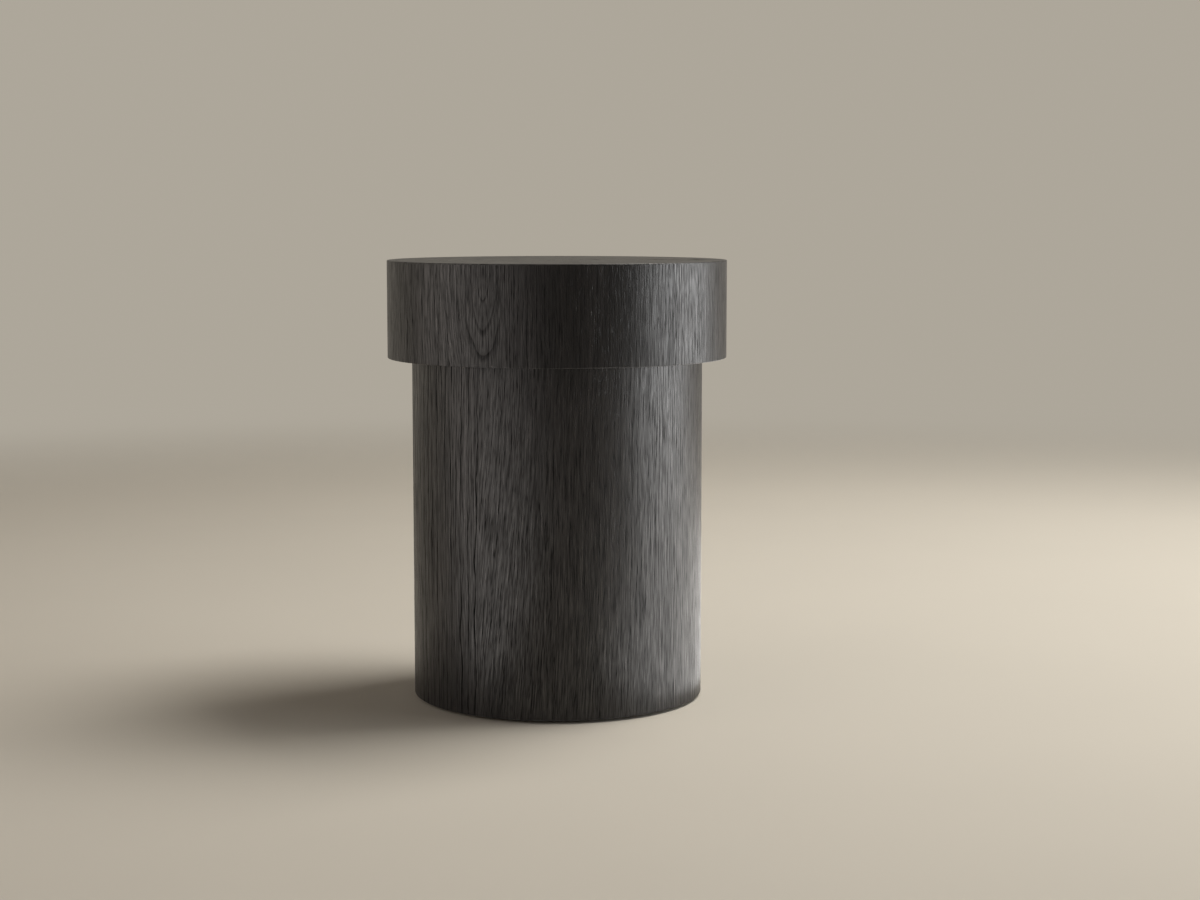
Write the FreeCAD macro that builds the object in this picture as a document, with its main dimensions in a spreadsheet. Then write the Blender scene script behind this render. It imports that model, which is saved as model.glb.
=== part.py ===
# Drum side table: a wide veneered head on a narrower veneered drum, hollow inside and open underneath,
# standing on four screw levellers set back inside the drum's foot.
# Millimetres, +Z up, origin on the floor at the drum's axis.
import FreeCAD, Part
import os
import Sketcher

# Driving sizes: alias, value, meaning.
SIZES = (
    ("head_diameter", 350, "across the head, over its veneer"),
    ("head_height", 100, "head, underside to top"),
    ("base_diameter", 300, "across the lower drum, over its veneer"),
    ("base_height", 350, "lower drum, foot edge to the head's underside"),
    ("floor_gap", 3, "shadow gap between the drum's foot edge and the floor"),
    ("veneer_thickness", 1.2, "brushed oak veneer"),
    ("edge_radius", 0.8, "eased outer edges of the veneer"),
    ("shell_thickness", 10, "bent plywood walls"),
    ("panel_thickness", 18, "the head's two discs"),
    ("rib_thickness", 18, "crossed ribs inside the head"),
    ("rib_play", 0.3, "room in the ribs' half-lap, all round"),
    ("former_thickness", 18, "upper former, middle former and bottom ring"),
    ("middle_former_width", 44, "middle former, radially"),
    ("bottom_ring_width", 54, "bottom ring, radially"),
    ("batten_width", 40, "upright battens, along the wall"),
    ("batten_depth", 22, "upright battens, in from the wall"),
    ("notch_play", 0.3, "room round a batten in the middle former's notch"),
    ("bolt_circle_diameter", 130, "circle of the head's bolts and dowels"),
    ("bolt_diameter", 8, "bolts that hold the head on the drum"),
    ("bolt_length", 30, "under the head"),
    ("bolt_head_diameter", 13, "socket cap head"),
    ("bolt_head_height", 8, "socket cap head"),
    ("bolt_head_chamfer", 0.8, "rim of the cap head"),
    ("bolt_key_width", 6, "hexagon socket across its flats"),
    ("bolt_key_depth", 4, "hexagon socket"),
    ("bolt_hole_play", 0.5, "room round a bolt in wood and washer, on the radius"),
    ("washer_diameter", 24, "washers under the bolt heads"),
    ("washer_thickness", 2, "washers under the bolt heads"),
    ("insert_wall", 2, "threaded inserts in the head, on the radius"),
    ("insert_length", 13, "threaded inserts in the head"),
    ("thread_play", 0.05, "running room between a plain thread and its nut, on the radius"),
    ("dowel_diameter", 10, "dowels that centre the head"),
    ("dowel_length", 30, "half in the drum, half in the head"),
    ("dowel_chamfer", 1, "both dowel ends"),
    ("dowel_end_play", 1, "glue room past each dowel end"),
    ("screw_diameter", 4, "countersunk screws into the batten ends"),
    ("screw_length", 50, "overall"),
    ("screw_head_diameter", 8, "countersunk head"),
    ("screw_head_height", 3, "countersunk head"),
    ("screw_point", 4, "length of the point"),
    ("stem_diameter", 8, "leveller thread"),
    ("stem_length", 28, "leveller thread above its collar"),
    ("stem_chamfer", 1, "top end of the leveller thread"),
    ("collar_width", 13, "leveller's hexagon across its flats"),
    ("collar_height", 4, "leveller's hexagon"),
    ("collar_gap", 0.5, "between the hexagon and the pad under it"),
    ("neck_diameter", 10, "leveller between hexagon and button"),
    ("button_diameter", 16, "leveller's lower end, held in the pad"),
    ("button_play", 0.2, "room round the button and neck inside the pad"),
    ("pad_diameter", 30, "moulded leveller pad"),
    ("pad_height", 7, "moulded leveller pad"),
    ("pad_web", 2, "pad's floor under the button"),
    ("pad_lip", 1.8, "pad's lip over the button"),
    ("pad_rim", 2.5, "pad's upright rim below its taper"),
    ("pad_taper", 4, "pad's taper to its top, on the radius"),
    ("felt_diameter", 26, "felt disc under the pad"),
    ("felt_thickness", 2, "felt disc under the pad"),
    ("nut_wall", 1, "leveller nut's barrel, on the radius"),
    ("nut_length", 11, "leveller nut's barrel"),
    ("nut_flange_diameter", 22, "leveller nut's flange"),
    ("nut_flange_thickness", 1.5, "leveller nut's flange"),
    ("cut_overrun", 2, "how far every cut runs past the wood it goes through"),
)
QUARTERS = 4
PAIR = 2
FULL_TURN = 360
BETWEEN_BATTENS = FULL_TURN / QUARTERS / 2
# The eased edge takes at most this much of the veneer's thickness.
EASE_LIMIT_SHARE = 0.8
HEXAGON = 6
SAME_PLACE = 1e-6

# Places worked out from the sizes, as expressions: the lower drum from outside to inside.
base_radius = "Sizes.base_diameter / 2"
wall_radius = f"({base_radius} - Sizes.veneer_thickness)"
base_inside = f"({wall_radius} - Sizes.shell_thickness)"
batten_inside = f"({base_inside} - Sizes.batten_depth)"
batten_axis = f"({base_inside} - Sizes.batten_depth / 2)"
leveller_axis = f"({base_inside} - Sizes.bottom_ring_width / 2)"
bolt_axis = "Sizes.bolt_circle_diameter / 2"

# The leveller's stack, from the floor up to the ring that carries it.
pad_bottom = "Sizes.felt_thickness"
button_bottom = f"({pad_bottom} + Sizes.pad_web)"
pad_top = f"({pad_bottom} + Sizes.pad_height)"
lip_bottom = f"({pad_top} - Sizes.pad_lip)"
button_top = f"({lip_bottom} - Sizes.button_play)"
collar_bottom = f"({pad_top} + Sizes.collar_gap)"
collar_top = f"({collar_bottom} + Sizes.collar_height)"
ring_bottom = f"({collar_top} + Sizes.nut_flange_thickness)"
ring_top = f"({ring_bottom} + Sizes.former_thickness)"

# The lower drum's levels.
base_foot = "Sizes.floor_gap"
base_top = "(Sizes.floor_gap + Sizes.base_height)"
former_bottom = f"({base_top} - Sizes.former_thickness)"
batten_length = f"({former_bottom} - {ring_top})"
middle_bottom = f"(({ring_top} + {former_bottom}) / 2 - Sizes.former_thickness / 2)"
washer_bottom = f"({former_bottom} - Sizes.washer_thickness)"

# The head, from outside to inside and from its underside up.
head_radius = "Sizes.head_diameter / 2"
rim_radius = f"({head_radius} - Sizes.veneer_thickness)"
head_inside = f"({rim_radius} - Sizes.shell_thickness)"
head_top = f"({base_top} + Sizes.head_height)"
underside_bottom = f"({base_top} + Sizes.veneer_thickness)"
underside_top = f"({underside_bottom} + Sizes.panel_thickness)"
core_top = f"({head_top} - Sizes.veneer_thickness)"
top_panel_bottom = f"({core_top} - Sizes.panel_thickness)"
rib_height = f"({top_panel_bottom} - {underside_top})"
rib_half = "Sizes.rib_thickness / 2"

doc = FreeCAD.newDocument("drum_side_table")
sheet = doc.addObject("Spreadsheet::Sheet", "Sizes")
for row, (alias, number, meaning) in enumerate(SIZES, start=1):
    sheet.set(f"A{row}", alias)
    sheet.set(f"B{row}", str(number))
    sheet.setAlias(f"B{row}", alias)
    sheet.set(f"C{row}", meaning)
doc.recompute()

subparts = []


# Helpers: bodies, bound sketches and the features made from them.
def value(expression):
    """The number that an expression over the sheet gives now."""
    return float(sheet.evalExpression(expression))


def new_body(label, angle=0):
    """A sub-part's body, turned by an angle about the drum's axis."""
    body = doc.addObject("PartDesign::Body", label)
    body.Label = label
    body.AllowCompound = True
    body.Placement = FreeCAD.Placement(FreeCAD.Vector(), FreeCAD.Rotation(FreeCAD.Vector(0, 0, 1), angle))
    subparts.append(body)
    return body


def origin_feature(body, role):
    return next(feature for feature in body.Origin.OriginFeatures if feature.Role == role)


def new_sketch(body, plane, level=None, angle=0):
    """A sketch on one of the body's origin planes, lifted to a level or turned about the drum's axis."""
    sketch = body.newObject("Sketcher::SketchObject", f"{body.Label}_sketch")
    sketch.AttachmentSupport = [(origin_feature(body, plane), "")]
    sketch.MapMode = "FlatFace"
    sketch.AttachmentOffset = FreeCAD.Placement(
        FreeCAD.Vector(), FreeCAD.Rotation(FreeCAD.Vector(0, 1, 0), angle)
    )
    if level:
        sketch.setExpression("AttachmentOffset.Base.z", level)
    return sketch


def bind(sketch, kind, element, point, expression):
    """Holds one coordinate of a sketch point, counted from the sketch's origin, at an expression."""
    if expression == "0":
        axis = -2 if kind == "DistanceX" else -1
        sketch.addConstraint(Sketcher.Constraint("PointOnObject", element, point, axis))
        return
    index = sketch.addConstraint(Sketcher.Constraint(kind, element, point, value(expression)))
    sketch.setExpression(f"Constraints[{index}]", expression)


def draw_outline(sketch, corners, arcs=None):
    """A closed outline through corners given as expressions. Edges named in arcs bend round the origin."""
    arcs = arcs or {}
    spots = [FreeCAD.Vector(value(x), value(y), 0) for x, y in corners]
    count = len(corners)
    for edge in range(count):
        start, end = spots[edge], spots[(edge + 1) % count]
        if edge in arcs:
            bulge = (start + end).normalize() * value(arcs[edge])
            sketch.addGeometry(Part.Arc(start, bulge, end))
        else:
            sketch.addGeometry(Part.LineSegment(start, end))
    # An arc keeps its own direction, so its start may be either corner.
    for corner in range(count):
        before = (corner - 1) % count
        sketch.addConstraint(
            Sketcher.Constraint(
                "Coincident",
                before, point_at(sketch, before, spots[corner]),
                corner, point_at(sketch, corner, spots[corner]),
            )
        )
    for edge, radius in arcs.items():
        sketch.addConstraint(Sketcher.Constraint("Coincident", edge, 3, -1, 1))
        index = sketch.addConstraint(Sketcher.Constraint("Radius", edge, value(radius)))
        sketch.setExpression(f"Constraints[{index}]", radius)
    for corner, (x, y) in enumerate(corners):
        point = point_at(sketch, corner, spots[corner])
        on_arc = corner in arcs or (corner - 1) % count in arcs
        if not on_arc:
            bind(sketch, "DistanceX", corner, point, x)
        bind(sketch, "DistanceY", corner, point, y)


def point_at(sketch, edge, spot):
    """1 if the edge starts at the spot, 2 if it ends there."""
    curve = sketch.Geometry[edge]
    return 1 if curve.StartPoint.distanceToPoint(spot) < curve.EndPoint.distanceToPoint(spot) else 2


def draw_circle(sketch, radius):
    """A circle round the sketch's origin."""
    circle = sketch.addGeometry(Part.Circle(FreeCAD.Vector(), FreeCAD.Vector(0, 0, 1), value(radius)))
    sketch.addConstraint(Sketcher.Constraint("Coincident", circle, 3, -1, 1))
    index = sketch.addConstraint(Sketcher.Constraint("Radius", circle, value(radius)))
    sketch.setExpression(f"Constraints[{index}]", radius)


def turn(body, outline, axis="0", angle=0, cut=False):
    """Turns an outline of (distance from its axis, height) into a solid, or cuts it away. The axis is
    upright, that far from the drum's own axis, towards the angle."""
    before = body.Shape.Volume if cut else 0
    sketch = new_sketch(body, "XZ_Plane", angle=angle)
    off_centre = axis != "0"
    corners = [(f"({axis} + {x})" if off_centre else x, z) for x, z in outline]
    draw_outline(sketch, corners)
    if off_centre:
        low, high = value(corners[0][1]), value(corners[0][1]) + value(axis)
        line = Part.LineSegment(FreeCAD.Vector(value(axis), low, 0), FreeCAD.Vector(value(axis), high, 0))
        centre = sketch.addGeometry(line, True)
        sketch.addConstraint(Sketcher.Constraint("Vertical", centre))
        bind(sketch, "DistanceX", centre, 1, axis)
        bind(sketch, "DistanceY", centre, 1, corners[0][1])
        bind(sketch, "DistanceY", centre, 2, f"({corners[0][1]} + {axis})")
    kind = "PartDesign::Groove" if cut else "PartDesign::Revolution"
    feature = body.newObject(kind, f"{body.Label}_turned")
    feature.Profile = sketch
    feature.ReferenceAxis = (sketch, ["Axis0" if off_centre else "V_Axis"])
    feature.Angle = FULL_TURN
    doc.recompute()
    if cut and body.Shape.Volume >= before:
        raise RuntimeError(f"{body.Label}: the turned cut took nothing away")
    return feature


def pad(body, sketch, length):
    feature = body.newObject("PartDesign::Pad", f"{body.Label}_pad")
    feature.Profile = sketch
    feature.setExpression("Length", length)
    doc.recompute()
    return feature


def pocket_up(body, sketch, depth):
    """Cuts a sketch's outline upwards from its level."""
    before = body.Shape.Volume
    feature = body.newObject("PartDesign::Pocket", f"{body.Label}_pocket")
    feature.Profile = sketch
    feature.Reversed = True
    feature.setExpression("Length", depth)
    doc.recompute()
    if body.Shape.Volume >= before:
        raise RuntimeError(f"{body.Label}: the pocket took nothing away")
    return feature


def repeat_round(body, features, count):
    """Repeats features evenly round the drum's axis."""
    pattern = body.newObject("PartDesign::PolarPattern", f"{body.Label}_round")
    pattern.Originals = features
    pattern.Axis = (origin_feature(body, "Z_Axis"), [""])
    pattern.Angle = FULL_TURN
    pattern.Occurrences = count
    body.Tip = pattern
    doc.recompute()


def ease_edge(body, radius, level):
    """Rounds the circular edge of that radius at that level."""
    base = body.Tip
    for number, edge in enumerate(base.Shape.Edges, start=1):
        ring = edge.Curve
        if not isinstance(ring, Part.Circle):
            continue
        if max(abs(ring.Radius - value(radius)), abs(ring.Center.z - value(level))) < SAME_PLACE:
            feature = body.newObject("PartDesign::Fillet", f"{body.Label}_eased")
            feature.Base = (base, [f"Edge{number}"])
            limit = f"Sizes.veneer_thickness * {EASE_LIMIT_SHARE}"
            feature.setExpression("Radius", f"min(Sizes.edge_radius; {limit})")
            doc.recompute()
            return
    raise RuntimeError(f"{body.Label}: no edge to ease")


def ring_outline(inner, outer, bottom, top):
    return [(inner, bottom), (outer, bottom), (outer, top), (inner, top)]


def rod_outline(radius, bottom, top):
    return ring_outline("0", radius, bottom, top)


def hexagon(centre, width):
    """Corners of a hexagon, flats facing along X, measured across its flats."""
    reach = f"{width} / sqrt(3)"
    step = FULL_TURN / HEXAGON
    turns = [step / 2 + step * side for side in range(HEXAGON)]
    return [(f"({centre} + {reach} * cos({a} deg))", f"({reach} * sin({a} deg))") for a in turns]


def sheet_disc(label, radius, bottom, thickness, bore=None, angle=0):
    """A disc or ring cut from a board."""
    body = new_body(label, angle)
    sketch = new_sketch(body, "XY_Plane", level=bottom)
    draw_circle(sketch, radius)
    if bore:
        draw_circle(sketch, bore)
    pad(body, sketch, thickness)
    return body


# Outlines shared by each fastener and the hole that takes it.
def screw_outline(head_level, upwards):
    """Countersunk screw, from its head's flat face to its point."""
    sign = "+" if upwards else "-"
    shank = f"({head_level} {sign} Sizes.screw_head_height)"
    point = f"({head_level} {sign} (Sizes.screw_length - Sizes.screw_point))"
    tip = f"({head_level} {sign} Sizes.screw_length)"
    return [
        ("0", head_level),
        ("Sizes.screw_head_diameter / 2", head_level),
        ("Sizes.screw_diameter / 2", shank),
        ("Sizes.screw_diameter / 2", point),
        ("0", tip),
    ]


def bolt_hole(bottom, top):
    """Clearance hole for a bolt, run past both faces."""
    radius = "(Sizes.bolt_diameter / 2 + Sizes.bolt_hole_play)"
    return rod_outline(radius, f"({bottom} - Sizes.cut_overrun)", f"({top} + Sizes.cut_overrun)")


dowel_half = "Sizes.dowel_length / 2"
dowel_hole = rod_outline(
    "Sizes.dowel_diameter / 2",
    f"({base_top} - {dowel_half} - Sizes.dowel_end_play)",
    f"({base_top} + {dowel_half} + Sizes.dowel_end_play)",
)
insert_radius = "(Sizes.bolt_diameter / 2 + Sizes.thread_play + Sizes.insert_wall)"
nut_bore = "(Sizes.stem_diameter / 2 + Sizes.thread_play)"
nut_radius = f"({nut_bore} + Sizes.nut_wall)"


def drill_round(body, outline, axis, count, angle=0):
    """Drills the same hole evenly round the drum's axis, the first one towards the angle."""
    repeat_round(body, [turn(body, outline, axis, angle, cut=True)], count)


def turned_set(label, outline, axis, count, angle=0):
    """A set of equal turned pieces, evenly round the drum's axis."""
    body = new_body(label)
    repeat_round(body, [turn(body, outline, axis, angle)], count)


# The head's skins: the top leaf laps over the rim's, and every outer edge is eased.
def top_veneer():
    body = sheet_disc("top_veneer", head_radius, core_top, "Sizes.veneer_thickness")
    ease_edge(body, head_radius, head_top)


def rim_veneer():
    body = new_body("rim_veneer")
    turn(body, ring_outline(rim_radius, head_radius, base_top, core_top))
    ease_edge(body, head_radius, base_top)


def underside_veneer():
    body = sheet_disc("underside_veneer", rim_radius, base_top, "Sizes.veneer_thickness")
    drill_round(body, bolt_hole(base_top, underside_bottom), bolt_axis, QUARTERS)
    drill_round(body, dowel_hole, bolt_axis, PAIR, BETWEEN_BATTENS)


# The head's core: two discs held apart by crossed ribs inside a bent rim.
def top_panel():
    sheet_disc("top_panel", head_inside, top_panel_bottom, "Sizes.panel_thickness")


def rim_shell():
    turn(new_body("rim_shell"), ring_outline(head_inside, rim_radius, underside_bottom, core_top))


def underside_panel():
    body = sheet_disc("underside_panel", head_inside, underside_bottom, "Sizes.panel_thickness")
    top = f"({underside_top} + Sizes.cut_overrun)"
    bottom = f"({underside_bottom} - Sizes.cut_overrun)"
    drill_round(body, rod_outline(insert_radius, bottom, top), bolt_axis, QUARTERS)
    drill_round(body, dowel_hole, bolt_axis, PAIR, BETWEEN_BATTENS)


def cross_rib(label, notch_bottom, angle):
    """One of two equal ribs across the head, half-lapped at the middle."""
    body = new_body(label, angle)
    sketch = new_sketch(body, "XY_Plane", level=underside_top)
    reach = f"sqrt({head_inside} ^ 2 - ({rib_half}) ^ 2)"
    corners = [
        (f"-{reach}", f"-{rib_half}"),
        (reach, f"-{rib_half}"),
        (reach, rib_half),
        (f"-{reach}", rib_half),
    ]
    draw_outline(sketch, corners, arcs={1: head_inside, 3: head_inside})
    pad(body, sketch, rib_height)
    notch = new_sketch(body, "XY_Plane", level=notch_bottom)
    half = f"({rib_half} + Sizes.rib_play)"
    side = f"({rib_half} + Sizes.cut_overrun)"
    draw_outline(notch, [(f"-{half}", f"-{side}"), (half, f"-{side}"), (half, side), (f"-{half}", side)])
    pocket_up(body, notch, f"({rib_height} / 2 + Sizes.cut_overrun)")


def cross_ribs():
    middle = f"({underside_top} + {rib_height} / 2)"
    cross_rib("lower_cross_rib", middle, 0)
    cross_rib("upper_cross_rib", f"({underside_top} - Sizes.cut_overrun)", FULL_TURN / QUARTERS)


# The lower drum: a bent wall with its veneer, three formers and four upright battens.
def base_veneer():
    body = new_body("base_veneer")
    turn(body, ring_outline(wall_radius, base_radius, base_foot, base_top))
    ease_edge(body, base_radius, base_foot)


def base_shell():
    turn(new_body("base_shell"), ring_outline(base_inside, wall_radius, base_foot, base_top))


def upper_former():
    body = sheet_disc("upper_former", base_inside, former_bottom, "Sizes.former_thickness")
    drill_round(body, bolt_hole(former_bottom, base_top), bolt_axis, QUARTERS)
    drill_round(body, dowel_hole, bolt_axis, PAIR, BETWEEN_BATTENS)
    drill_round(body, screw_outline(base_top, upwards=False), batten_axis, QUARTERS)


def middle_former():
    bore = f"({base_inside} - Sizes.middle_former_width)"
    body = sheet_disc("middle_former", base_inside, middle_bottom, "Sizes.former_thickness", bore)
    notch = new_sketch(body, "XY_Plane", level=f"({middle_bottom} - Sizes.cut_overrun)")
    near = f"({batten_inside} - Sizes.notch_play)"
    far = f"({base_inside} + Sizes.cut_overrun)"
    half = "(Sizes.batten_width / 2 + Sizes.notch_play)"
    draw_outline(notch, [(near, f"-{half}"), (far, f"-{half}"), (far, half), (near, half)])
    depth = "(Sizes.former_thickness + 2 * Sizes.cut_overrun)"
    repeat_round(body, [pocket_up(body, notch, depth)], QUARTERS)


def bottom_ring():
    bore = f"({base_inside} - Sizes.bottom_ring_width)"
    body = sheet_disc("bottom_ring", base_inside, ring_bottom, "Sizes.former_thickness", bore)
    bottom, top = f"({ring_bottom} - Sizes.cut_overrun)", f"({ring_top} + Sizes.cut_overrun)"
    drill_round(body, rod_outline(nut_radius, bottom, top), leveller_axis, QUARTERS, BETWEEN_BATTENS)
    drill_round(body, screw_outline(ring_bottom, upwards=True), batten_axis, QUARTERS)


def batten(number):
    """An upright with its back rounded to the wall, screwed through both ends."""
    body = new_body(f"batten_{number + 1}", FULL_TURN / QUARTERS * number)
    sketch = new_sketch(body, "XY_Plane", level=ring_top)
    half = "Sizes.batten_width / 2"
    back = f"sqrt({base_inside} ^ 2 - ({half}) ^ 2)"
    corners = [(batten_inside, f"-{half}"), (back, f"-{half}"), (back, half), (batten_inside, half)]
    draw_outline(sketch, corners, arcs={1: base_inside})
    pad(body, sketch, batten_length)
    turn(body, screw_outline(ring_bottom, upwards=True), batten_axis, cut=True)
    turn(body, screw_outline(base_top, upwards=False), batten_axis, cut=True)


# Fasteners.
def connector_bolts():
    body = new_body("connector_bolts")
    head_bottom = f"({washer_bottom} - Sizes.bolt_head_height)"
    tip = f"({washer_bottom} + Sizes.bolt_length)"
    head = "Sizes.bolt_head_diameter / 2"
    shank = "Sizes.bolt_diameter / 2"
    outline = [
        ("0", head_bottom),
        (f"({head} - Sizes.bolt_head_chamfer)", head_bottom),
        (head, f"({head_bottom} + Sizes.bolt_head_chamfer)"),
        (head, washer_bottom),
        (shank, washer_bottom),
        (shank, tip),
        ("0", tip),
    ]
    bolt = turn(body, outline, bolt_axis)
    key = new_sketch(body, "XY_Plane", level=head_bottom)
    draw_outline(key, hexagon(bolt_axis, "Sizes.bolt_key_width"))
    repeat_round(body, [bolt, pocket_up(body, key, "Sizes.bolt_key_depth")], QUARTERS)


def bolt_washers():
    bore = "(Sizes.bolt_diameter / 2 + Sizes.bolt_hole_play)"
    outline = ring_outline(bore, "Sizes.washer_diameter / 2", washer_bottom, former_bottom)
    turned_set("bolt_washers", outline, bolt_axis, QUARTERS)


def threaded_inserts():
    bore = "(Sizes.bolt_diameter / 2 + Sizes.thread_play)"
    top = f"({underside_bottom} + Sizes.insert_length)"
    outline = ring_outline(bore, insert_radius, underside_bottom, top)
    turned_set("threaded_inserts", outline, bolt_axis, QUARTERS)


def locating_dowels():
    bottom, top = f"({base_top} - {dowel_half})", f"({base_top} + {dowel_half})"
    radius = "Sizes.dowel_diameter / 2"
    outline = [
        ("0", bottom),
        (f"({radius} - Sizes.dowel_chamfer)", bottom),
        (radius, f"({bottom} + Sizes.dowel_chamfer)"),
        (radius, f"({top} - Sizes.dowel_chamfer)"),
        (f"({radius} - Sizes.dowel_chamfer)", top),
        ("0", top),
    ]
    turned_set("locating_dowels", outline, bolt_axis, PAIR, BETWEEN_BATTENS)


def batten_screws():
    turned_set("upper_batten_screws", screw_outline(base_top, upwards=False), batten_axis, QUARTERS)
    turned_set("lower_batten_screws", screw_outline(ring_bottom, upwards=True), batten_axis, QUARTERS)


def leveller_nuts():
    """Flanged nuts let into the bottom ring from below."""
    flange = "Sizes.nut_flange_diameter / 2"
    barrel_top = f"({ring_bottom} + Sizes.nut_length)"
    outline = [
        (nut_bore, collar_top),
        (flange, collar_top),
        (flange, ring_bottom),
        (nut_radius, ring_bottom),
        (nut_radius, barrel_top),
        (nut_bore, barrel_top),
    ]
    turned_set("leveller_nuts", outline, leveller_axis, QUARTERS, BETWEEN_BATTENS)


# Levellers: a threaded stem turned by its hexagon, held by its button in a pad that only rises and falls.
def leveller_angle(number):
    return FULL_TURN / QUARTERS * number + BETWEEN_BATTENS


def leveller_stem(number):
    body = new_body(f"leveller_stem_{number + 1}", leveller_angle(number))
    stem = "Sizes.stem_diameter / 2"
    neck = "Sizes.neck_diameter / 2"
    button = "Sizes.button_diameter / 2"
    tip = f"({collar_top} + Sizes.stem_length)"
    outline = [
        ("0", button_bottom),
        (button, button_bottom),
        (button, button_top),
        (neck, button_top),
        (neck, collar_top),
        (stem, collar_top),
        (stem, f"({tip} - Sizes.stem_chamfer)"),
        (f"({stem} - Sizes.stem_chamfer)", tip),
        ("0", tip),
    ]
    turn(body, outline, leveller_axis)
    collar = new_sketch(body, "XY_Plane", level=collar_bottom)
    draw_outline(collar, hexagon(leveller_axis, "Sizes.collar_width"))
    pad(body, collar, "Sizes.collar_height")


def leveller_pad(number):
    body = new_body(f"leveller_pad_{number + 1}", leveller_angle(number))
    radius = "Sizes.pad_diameter / 2"
    cavity = "(Sizes.button_diameter / 2 + Sizes.button_play)"
    mouth = "(Sizes.neck_diameter / 2 + Sizes.button_play)"
    outline = [
        ("0", pad_bottom),
        (radius, pad_bottom),
        (radius, f"({pad_bottom} + Sizes.pad_rim)"),
        (f"({radius} - Sizes.pad_taper)", pad_top),
        (mouth, pad_top),
        (mouth, lip_bottom),
        (cavity, lip_bottom),
        (cavity, button_bottom),
        ("0", button_bottom),
    ]
    turn(body, outline, leveller_axis)


def leveller_felt(number):
    body = new_body(f"leveller_felt_{number + 1}", leveller_angle(number))
    turn(body, rod_outline("Sizes.felt_diameter / 2", "0", pad_bottom), leveller_axis)


for make in (
    top_veneer, rim_veneer, underside_veneer, top_panel, rim_shell, underside_panel, cross_ribs,
    base_veneer, base_shell, upper_former, middle_former, bottom_ring,
    connector_bolts, bolt_washers, threaded_inserts, locating_dowels, batten_screws, leveller_nuts,
):
    make()
for number in range(QUARTERS):
    for make in (batten, leveller_stem, leveller_pad, leveller_felt):
        make(number)
doc.recompute()

for item in doc.Objects:
    if "Invalid" in item.State or "Error" in item.State:
        raise RuntimeError(f"{item.Label} failed: {item.State}")
for body in subparts:
    if body.Shape.isNull() or not body.Shape.isValid():
        raise RuntimeError(f"{body.Label} has no valid shape")

os.makedirs("parts", exist_ok=True)
for body in subparts:
    body.Shape.exportStep(f"parts/{body.Label}.step")
    print(f"{body.Label}: {len(body.Shape.Solids)} solids, {body.Shape.Volume:.1f} mm3")
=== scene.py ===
# Drum side table: black-stained brushed oak veneer on a wide round head and a narrower drum, with the raw
# carcass, fasteners and screw levellers that show from underneath.
# Metres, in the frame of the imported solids. Small turned pieces are drawn in millimetres.
import math
from collections import namedtuple
import bmesh
import bpy
from mathutils import Matrix, Vector


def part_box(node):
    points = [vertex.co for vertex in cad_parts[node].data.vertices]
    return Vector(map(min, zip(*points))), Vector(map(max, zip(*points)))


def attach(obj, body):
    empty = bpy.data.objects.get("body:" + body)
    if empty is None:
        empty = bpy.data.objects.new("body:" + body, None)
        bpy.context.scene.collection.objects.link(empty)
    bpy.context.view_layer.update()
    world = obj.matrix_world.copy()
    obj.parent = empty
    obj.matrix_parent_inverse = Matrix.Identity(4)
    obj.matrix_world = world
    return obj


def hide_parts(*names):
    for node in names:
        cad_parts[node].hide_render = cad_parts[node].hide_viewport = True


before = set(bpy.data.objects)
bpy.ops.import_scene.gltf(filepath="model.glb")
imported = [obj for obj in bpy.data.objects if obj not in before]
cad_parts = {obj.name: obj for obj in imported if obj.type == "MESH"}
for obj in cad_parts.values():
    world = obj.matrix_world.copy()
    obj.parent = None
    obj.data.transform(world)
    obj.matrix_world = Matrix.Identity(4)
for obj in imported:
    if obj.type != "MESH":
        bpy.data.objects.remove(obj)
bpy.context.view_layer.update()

MM = 0.001
FULL_TURN = 2 * math.pi
QUARTERS = 4
HEXAGON = 6

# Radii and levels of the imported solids, in millimetres.
head_low, head_high = (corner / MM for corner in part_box("rim_veneer"))
base_low, base_high = (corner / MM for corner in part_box("base_veneer"))
wall_low, wall_high = (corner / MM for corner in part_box("base_shell"))
ring_low, ring_high = (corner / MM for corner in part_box("bottom_ring"))
top_low, top_high = (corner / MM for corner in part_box("top_veneer"))
former_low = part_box("upper_former")[0] / MM
HEAD_RADIUS = head_high.x
BASE_RADIUS = base_high.x
WALL_RADIUS = wall_high.x
INSIDE_RADIUS = ring_high.x
VENEER = BASE_RADIUS - WALL_RADIUS
BATTEN_DEPTH = 22.0
RING_WIDTH = 54.0
BOLT_CIRCLE = 65.0
BATTEN_CIRCLE = INSIDE_RADIUS - BATTEN_DEPTH / 2
LEVELLER_CIRCLE = INSIDE_RADIUS - RING_WIDTH / 2
FIRST_LEVELLER = 45
LEVELLER_ANGLES = [math.radians(FIRST_LEVELLER + 360 / QUARTERS * number) for number in range(QUARTERS)]

# How far the edges of each kind of piece are eased, in millimetres.
EASE = 0.8
UNDERSIDE_EASE = 0.1
WALL_EASE = 0.6
BOARD_EASE = 0.5
BATTEN_EASE = 0.8


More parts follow.
